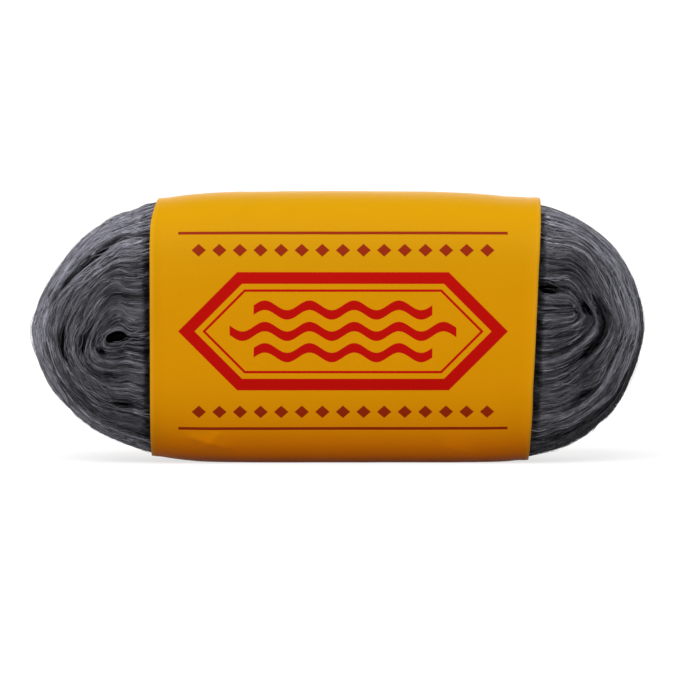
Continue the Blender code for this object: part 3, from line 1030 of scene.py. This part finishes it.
def new_material(name, roughness, metallic):
    finish = bpy.data.materials.new(name)
    finish.use_nodes = True
    shader = finish.node_tree.nodes["Principled BSDF"]
    set_inputs(shader, {"Roughness": roughness, "Metallic": metallic})
    return finish, finish.node_tree, shader


def attribute(tree, name, output="Fac"):
    return add_node(tree, "Attribute", {}, attribute_name=name).outputs[output]


def noise(tree, vector, scale, detail=2.0, roughness=0.5):
    inputs = {"Vector": vector, "Scale": scale, "Detail": detail, "Roughness": roughness}
    return add_node(tree, "TexNoise", inputs).outputs["Fac"]


def stretched(tree, vector, scales):
    return add_node(tree, "Mapping", {"Vector": vector, "Scale": scales}).outputs["Vector"]


def ramp(tree, factor, stops):
    """A colour for each value of a factor, even between the stops."""
    node = add_node(tree, "ValToRGB", {"Fac": factor})
    while len(node.color_ramp.elements) < len(stops):
        node.color_ramp.elements.new(0.5)
    for element, (position, colour) in zip(node.color_ramp.elements, stops):
        element.position = position
        element.color = (*colour, 1)
    return node.outputs["Color"]


def blend_colours(tree, factor, *colours):
    """The first of two colours at factor 0, the second at 1."""
    first, second = ((*colour, 1) if isinstance(colour, tuple) else colour for colour in colours)
    inputs = {"Factor": factor, "A": first, "B": second}
    return add_node(tree, "Mix", inputs, data_type="RGBA").outputs["Result"]


def bump(tree, height, distance):
    return add_node(tree, "Bump", {"Distance": distance, "Strength": 1.0, "Height": height}).outputs["Normal"]


# The first colour is painted shade, for the wool's hollows; the others are the steel's own tones
PAINTED_SHADE_BLACK = (0.008, 0.008, 0.010)
WOOL_DARK = (0.028, 0.028, 0.033)
WOOL_MID = (0.135, 0.133, 0.156)
WOOL_LIGHT = (0.420, 0.415, 0.480)
PAPER_TINTS_AND_SHADE = (  # by height, as painted light and shade: yellower at the top and a deeper orange underneath
    (0.000, (0.790, 0.180, 0.0004)),
    (0.006, (0.855, 0.250, 0.0004)),
    (0.010, (0.810, 0.280, 0.0004)),
    (0.018, (0.728, 0.288, 0.0004)),
    (0.033, (0.695, 0.288, 0.0004)),
    (0.048, (0.690, 0.293, 0.0004)),
    (0.062, (0.625, 0.287, 0.0004)),
    (0.079, (0.622, 0.308, 0.0004)),
)
PAPER_WEAR = (0.720, 0.370, 0.020)
PAPER_WEAR_WIDTH = 0.0016  # along the paper's edges
PAPER_INSIDE = (0.62, 0.58, 0.50)
INK_RED = (0.500, 0.004, 0.002)
INK_DARK_RED = (0.290, 0.022, 0.003)


def body_finish():
    """Matted steel under the fibres: fine streaks along the winding, darker between them, and painted shade,
    down to black, in the hollows, the eye and beside the band's edges.
    """
    finish, tree, shader = new_material("matted_steel", 0.5, 0.4)
    combed = attribute(tree, "combed", "Vector")
    fine = noise(tree, stretched(tree, combed, (120, 5200, 1)), 1.0, 3.0, 0.6)
    coarse = noise(tree, stretched(tree, combed, (60, 900, 1)), 1.0)
    sums = sums_in(tree)
    mixed = sums("MULTIPLY_ADD", fine, 0.65, sums("MULTIPLY", coarse, 0.35))
    streaks = ramp(tree, mixed, [(0.38, WOOL_DARK), (0.60, WOOL_MID), (0.80, WOOL_LIGHT)])
    # Painted shade: black in the creases, grooves, gaps between turns, the eye and beside the band's edges
    colour = blend_colours(tree, attribute(tree, "hollow"), streaks, PAINTED_SHADE_BLACK)
    set_inputs(shader, {"Base Color": colour, "Normal": bump(tree, mixed, 0.0003)})
    return finish


def fibre_finish():
    """Bright drawn steel, a shade of its own on each fibre and a little uneven along it, with painted light
    and shade carried in that shade.
    """
    finish, tree, shader = new_material("steel_fibre", 0.38, 0.5)
    along = noise(tree, tree.nodes.new("ShaderNodeTexCoord").outputs["Object"], 420.0)
    sums = sums_in(tree)
    mixed = sums("MULTIPLY_ADD", along, 0.4, sums("MULTIPLY", attribute(tree, "shade"), 0.6))
    shades = ramp(tree, mixed, [(0.20, WOOL_DARK), (0.48, WOOL_MID), (0.80, WOOL_LIGHT)])
    set_inputs(shader, {"Base Color": shades})
    return finish


# The print: a long hexagon with three wavy lines in it, between two rows of lozenges and two rules
FRAME_HALF_WIDTH = 0.0480
FRAME_HALF_HEIGHT = 0.0172
FRAME_THICKNESS = 0.0034
INNER_LINE_GAP = 0.0016
INNER_LINE_THICKNESS = 0.0007
WAVES = ((0.0062, 0.0260), (0.0, 0.0330), (-0.0062, 0.0260))  # height and half width of each
WAVE_PERIOD = 0.0130
WAVE_SWING = 0.0014
WAVE_THICKNESS = 0.0024
ROW_UP = 0.0236
LOZENGE_PERIOD = 0.0060
LOZENGE_HALF_WIDTH = 0.0021
LOZENGE_HALF_HEIGHT = 0.0019
ROW_HALF_WIDTH = 0.0460
RULE_UP = 0.0288
RULE_THICKNESS = 0.0009
RULE_HALF_WIDTH = 0.0480


def soft_edge(sums, distance, width=0.00012):
    """1 inside a shape and 0 outside it, from the distance to its edge in metres, negative inside."""
    return sums("MAXIMUM", sums("MINIMUM", sums("MULTIPLY_ADD", distance, -1 / width, 0.5), 1.0), 0.0)


def hexagon(sums, across, up):
    """The distance outside the frame, a long hexagon with a point at each end."""
    flat = sums("SUBTRACT", up, FRAME_HALF_HEIGHT)
    slant = sums("MULTIPLY", sums("SUBTRACT", sums("ADD", across, up), FRAME_HALF_WIDTH), math.sqrt(0.5))
    return sums("MAXIMUM", flat, slant)


def stroke(sums, distance, thickness):
    """The distance outside a line drawn along a shape's edge, on the inside."""
    middle = sums("ABSOLUTE", sums("ADD", distance, thickness / 2))
    return sums("SUBTRACT", middle, thickness / 2)


def wave(sums, x, up, half_width):
    """The distance outside a wavy line."""
    line = sums("MULTIPLY", sums("SINE", sums("MULTIPLY", x, 2 * math.pi / WAVE_PERIOD)), WAVE_SWING)
    away = sums("MULTIPLY", sums("ABSOLUTE", sums("SUBTRACT", up, line)), 0.86)
    past_end = sums("SUBTRACT", sums("ABSOLUTE", x), half_width)
    return sums("MAXIMUM", sums("SUBTRACT", away, WAVE_THICKNESS / 2), past_end)


def lozenges(sums, x, up):
    """The distance outside a row of small lozenges."""
    centred = sums("PINGPONG", sums("ADD", x, 20 * LOZENGE_PERIOD), LOZENGE_PERIOD / 2)
    slope = LOZENGE_HALF_HEIGHT / LOZENGE_HALF_WIDTH
    shape = sums("ADD", sums("MULTIPLY", centred, slope), sums("ABSOLUTE", up))
    away = sums("MULTIPLY", sums("SUBTRACT", shape, LOZENGE_HALF_HEIGHT), 0.75)
    return sums("MAXIMUM", away, sums("SUBTRACT", sums("ABSOLUTE", x), ROW_HALF_WIDTH))


def print_masks(tree, sums):
    """How much bright red and dark red ink lies at each place of the band."""
    x, height, inside = add_node(tree, "SeparateXYZ", {0: attribute(tree, "printed", "Vector")}).outputs
    outside = sums("LESS_THAN", inside, 0.5)
    x = sums("SUBTRACT", x, (BAND_LEFT_X + BAND_RIGHT_X) / 2)
    across = sums("ABSOLUTE", x)
    up = sums("ABSOLUTE", height)
    frame_edge = hexagon(sums, across, up)
    inner_edge = sums("ADD", frame_edge, FRAME_THICKNESS + INNER_LINE_GAP)
    inner_line = stroke(sums, inner_edge, INNER_LINE_THICKNESS)
    bright = sums("MINIMUM", stroke(sums, frame_edge, FRAME_THICKNESS), inner_line)
    for place, half_width in WAVES:
        bright = sums("MINIMUM", bright, wave(sums, x, sums("SUBTRACT", height, place), half_width))
    row = lozenges(sums, x, sums("SUBTRACT", up, ROW_UP))
    rule = sums("SUBTRACT", sums("ABSOLUTE", sums("SUBTRACT", up, RULE_UP)), RULE_THICKNESS / 2)
    rule = sums("MAXIMUM", rule, sums("SUBTRACT", across, RULE_HALF_WIDTH))
    dark = sums("MINIMUM", row, rule)
    inks = [sums("MULTIPLY", soft_edge(sums, distance), outside) for distance in (bright, dark)]
    return *inks, outside


def band_finish():
    """Thin printed paper: orange yellow outside, turning a deeper orange underneath as painted shade, with a
    plain red pattern in front, and bare inside.
    """
    finish, tree, shader = new_material("printed_paper", 0.5, 0.0)
    sums = sums_in(tree)
    bright, dark, outside = print_masks(tree, sums)
    places = tree.nodes.new("ShaderNodeTexCoord").outputs["Object"]
    mottle = noise(tree, places, 90.0, 4.0, 0.6)
    fibres = noise(tree, places, 1500.0, 3.0, 0.6)
    top = PAPER_TINTS_AND_SHADE[-1][0]
    level = sums("MULTIPLY", add_node(tree, "SeparateXYZ", {0: places}).outputs["Z"], 1 / top)
    # The paper's yellow, with painted light and shade by height
    ground = ramp(tree, level, [(height / top, tint) for height, tint in PAPER_TINTS_AND_SHADE])
    from_edge = sums("DIVIDE", attribute(tree, "from_edge"), PAPER_WEAR_WIDTH)
    worn = sums("MULTIPLY", sums("SUBTRACT", 1.0, from_edge), mottle)
    worn = sums("MAXIMUM", worn, sums("MULTIPLY", sums("SUBTRACT", mottle, 0.62), 0.5))
    colour = blend_colours(tree, sums("MINIMUM", sums("MAXIMUM", worn, 0.0), 1.0), ground, PAPER_WEAR)
    for ink, tint in ((bright, INK_RED), (dark, INK_DARK_RED)):
        colour = blend_colours(tree, ink, colour, tint)
    colour = blend_colours(tree, outside, PAPER_INSIDE, colour)
    rough = sums("MULTIPLY_ADD", mottle, 0.14, 0.42)
    set_inputs(shader, {"Base Color": colour, "Roughness": rough, "Normal": bump(tree, fibres, 0.00004)})
    set_inputs(shader, {"Specular IOR Level": 0.03})
    return finish


FLOOR_GLOW = 0.72
FLOOR_GREY = 0.35


def sees_background(tree, sums):
    """1 for what the camera sees, straight, mirrored or through something."""
    path = tree.nodes.new("ShaderNodeLightPath")
    seen = sums("MAXIMUM", path.outputs["Is Camera Ray"], path.outputs["Is Glossy Ray"])
    return sums("MAXIMUM", seen, path.outputs["Is Transmission Ray"])


def floor():
    """A plain pale floor that looks white and keeps the roll's shadow."""
    bpy.ops.mesh.primitive_plane_add(size=8.0, location=(0, 0, 0))
    plane = bpy.context.object
    plane.name = "floor"
    finish, tree, shader = new_material("pale_floor", 1.0, 0.0)
    set_inputs(shader, {"Base Color": (FLOOR_GREY, FLOOR_GREY, FLOOR_GREY, 1), "Specular IOR Level": 0.0})
    sums = sums_in(tree)
    glow = add_node(tree, "Emission", {"Strength": sums("MULTIPLY", sees_background(tree, sums), FLOOR_GLOW)})
    both = add_node(tree, "AddShader", {0: shader.outputs[0], 1: glow.outputs[0]})
    set_inputs(tree.nodes["Material Output"], {"Surface": both.outputs[0]})
    plane.data.materials.append(finish)


WORLD_FILL = 0.52
KEY_FROM = (-0.26, -0.80, 0.93)
KEY_STRENGTH = 2.4
BACK_FROM = (0.20, 0.90, 0.22)
BACK_STRENGTH = 0.9
LIGHT_ANGLE = math.radians(50)


def world():
    """White where the camera looks, and an even fill elsewhere."""
    made = bpy.data.worlds.new("studio")
    bpy.context.scene.world = made
    made.use_nodes = True
    tree = made.node_tree
    sums = sums_in(tree)
    strength = sums("MULTIPLY_ADD", sees_background(tree, sums), 1 - WORLD_FILL, WORLD_FILL)
    set_inputs(tree.nodes["Background"], {"Color": (1, 1, 1, 1), "Strength": strength})


def aimed(name, data, place, direction):
    """A lamp or camera at a place, facing a direction."""
    made = bpy.data.objects.new(name, data)
    made.location = place
    made.rotation_euler = direction.to_track_quat("-Z", "Y").to_euler()
    bpy.context.scene.collection.objects.link(made)
    return made


def soft_light(name, place, strength):
    """A large soft light that shines from a place towards the roll."""
    lamp = bpy.data.lights.new(name, "SUN")
    lamp.energy = strength
    lamp.angle = LIGHT_ANGLE
    aimed(name, lamp, place, -Vector(place))


def camera():
    """The photograph's view: straight on and a little above, with the roll just above the middle."""
    lens = bpy.data.cameras.new("camera")
    lens.sensor_width = SENSOR
    lens.lens = SENSOR * VIEW_DISTANCE / (METRES_PER_PIXEL * PICTURE_SIDE)
    middle = (cad_bounds[0] + cad_bounds[1]) / 2
    target = Vector((0.0, middle.y, middle.z - OBJECT_ABOVE_CENTRE * METRES_PER_PIXEL))
    back = Vector((0, -math.cos(VIEW_ELEVATION), math.sin(VIEW_ELEVATION)))
    bpy.context.scene.camera = aimed("camera", lens, target + back * VIEW_DISTANCE, -back)


def dress():
    """The pieces that show, each on its body, in place of the plain solids."""
    steel = body_finish()
    fibre = fibre_finish()
    wool = [inner_turns(steel), outer_turn(steel), core_mat(steel)]
    for name, surface, seed in (("face_fibres", FACES, 100), ("rim_fibres", OUTSIDE, 200)):
        for index in range(PIECES_OF_FIBRES):
            wool.append(locks_of_fibres(f"{name}_{index + 1}", surface, seed + index, fibre))
    wool.append(stray_fibres("stray_face_fibres", FACES, 300, fibre))
    wool.append(stray_fibres("stray_rim_fibres", OUTSIDE, 301, fibre))
    for piece in wool:
        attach(piece, "root")
        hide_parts("wool_roll")
    band = paper_band(band_finish())
    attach(band, "root")
    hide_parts("paper_band")


dress()
floor()
world()
soft_light("key_light", KEY_FROM, KEY_STRENGTH)
soft_light("back_light", BACK_FROM, BACK_STRENGTH)
camera()
bpy.context.scene.view_settings.view_transform = "Standard"
